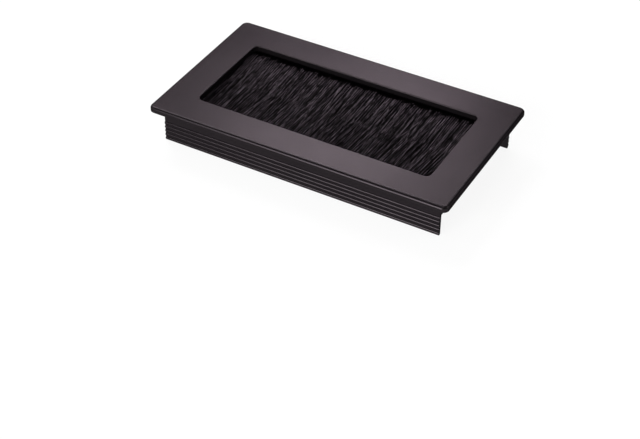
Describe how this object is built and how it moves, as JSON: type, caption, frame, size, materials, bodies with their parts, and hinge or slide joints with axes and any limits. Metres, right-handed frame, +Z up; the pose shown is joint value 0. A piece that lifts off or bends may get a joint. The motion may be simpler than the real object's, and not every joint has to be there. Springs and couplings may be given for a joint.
{
  "type": "brush cable grommet",
  "caption": "Rectangular desk cable grommet: a black flanged frame with ribbed legs along its long sides and a window filled by brush strips that let cables through.",
  "frame": {"origin": "centre of the window, on the plane of the flange's underside where it lies on the desk", "axes": "+X along the legs, +Y across to the rear leg, +Z up out of the desk"},
  "size_m": [0.16, 0.09, 0.0216],
  "materials": {
    "black_anodised": "satin black anodised",
    "channel_steel": "zinc plated strip",
    "wire_steel": "drawn wire",
    "black_filament": "black nylon filament"
  },
  "bodies": {
    "root": {"frame": "black_anodised", "rear_brush_channel": "channel_steel", "front_brush_channel": "channel_steel", "rear_core_wire": "wire_steel", "front_core_wire": "wire_steel", "rear_bristles": "black_filament", "front_bristles": "black_filament"}
  },
  "joints": []
}
